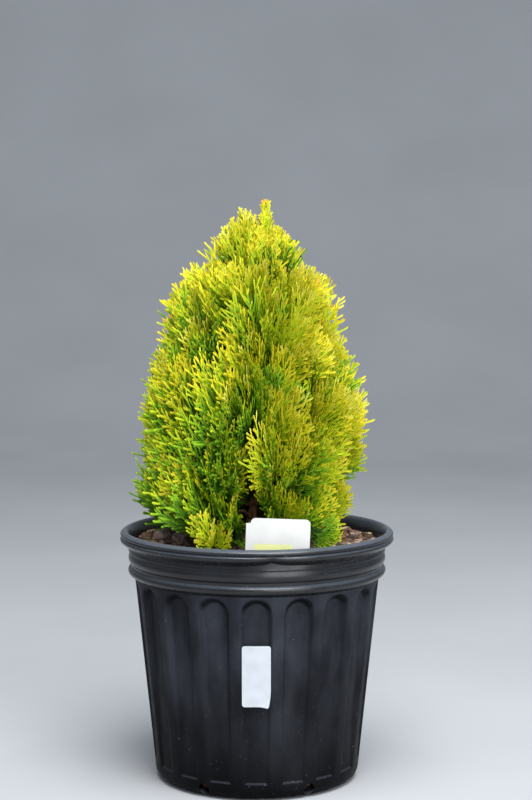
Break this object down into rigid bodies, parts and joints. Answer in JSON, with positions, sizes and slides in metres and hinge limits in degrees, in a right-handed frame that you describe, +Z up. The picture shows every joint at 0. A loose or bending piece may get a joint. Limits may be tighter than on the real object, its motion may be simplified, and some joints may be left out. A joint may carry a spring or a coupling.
{
  "type": "potted thuja",
  "caption": "Young golden thuja with dense upright sprays of scale leaves, in a fluted black plastic nursery pot of bark compost with a blank plant label.",
  "frame": {"origin": "centre of the pot's flat underside, on the surface that it stands on", "axes": "+Z up along the pot's axis, -Y towards the front of the plant with its label and sticker, +X to the right seen from the front"},
  "size_m": [0.2792, 0.2792, 0.594],
  "materials": {
    "pot_plastic": "near-black moulded polypropylene with a soft sheen, dust and fine scratches",
    "bark_compost": "moist composted bark with greyish brown chips",
    "label_card": "white printed plastic card, left blank but for a pale green band",
    "sticker_paper": "blank white paper sticker with one lifted corner",
    "bark": "reddish brown young bark, finely furrowed along the stem",
    "foliage": "matt to waxy scale leaves, golden yellow at the tips and green inside"
  },
  "bodies": {
    "root": {"bough_lower_1": "bark", "bough_lower_2": "bark", "bough_lower_3": "bark", "bough_lower_4": "bark", "bough_lower_5": "bark", "bough_middle_1": "bark", "bough_middle_2": "bark", "bough_middle_3": "bark", "bough_middle_4": "bark", "bough_middle_5": "bark", "bough_skirt_1": "bark", "bough_skirt_2": "bark", "bough_skirt_3": "bark", "bough_skirt_4": "bark", "bough_skirt_5": "bark", "bough_skirt_6": "bark", "bough_upper_1": "bark", "bough_upper_2": "bark", "bough_upper_3": "bark", "bough_upper_4": "bark", "foliage_leader": "foliage", "foliage_lower_1": "foliage", "foliage_lower_2": "foliage", "foliage_lower_3": "foliage", "foliage_lower_4": "foliage", "foliage_lower_5": "foliage", "foliage_middle_1": "foliage", "foliage_middle_2": "foliage", "foliage_middle_3": "foliage", "foliage_middle_4": "foliage", "foliage_middle_5": "foliage", "foliage_skirt_1": "foliage", "foliage_skirt_2": "foliage", "foliage_skirt_3": "foliage", "foliage_skirt_4": "foliage", "foliage_skirt_5": "foliage", "foliage_skirt_6": "foliage", "foliage_top_1": "foliage", "foliage_top_2": "foliage", "foliage_top_3": "foliage", "foliage_top_4": "foliage", "foliage_upper_1": "foliage", "foliage_upper_2": "foliage", "foliage_upper_3": "foliage", "foliage_upper_4": "foliage", "plant_label": "label_card", "pot": "pot_plastic", "pot_sticker": "sticker_paper", "potting_soil": "bark_compost", "trunk": "bark"}
  },
  "joints": []
}
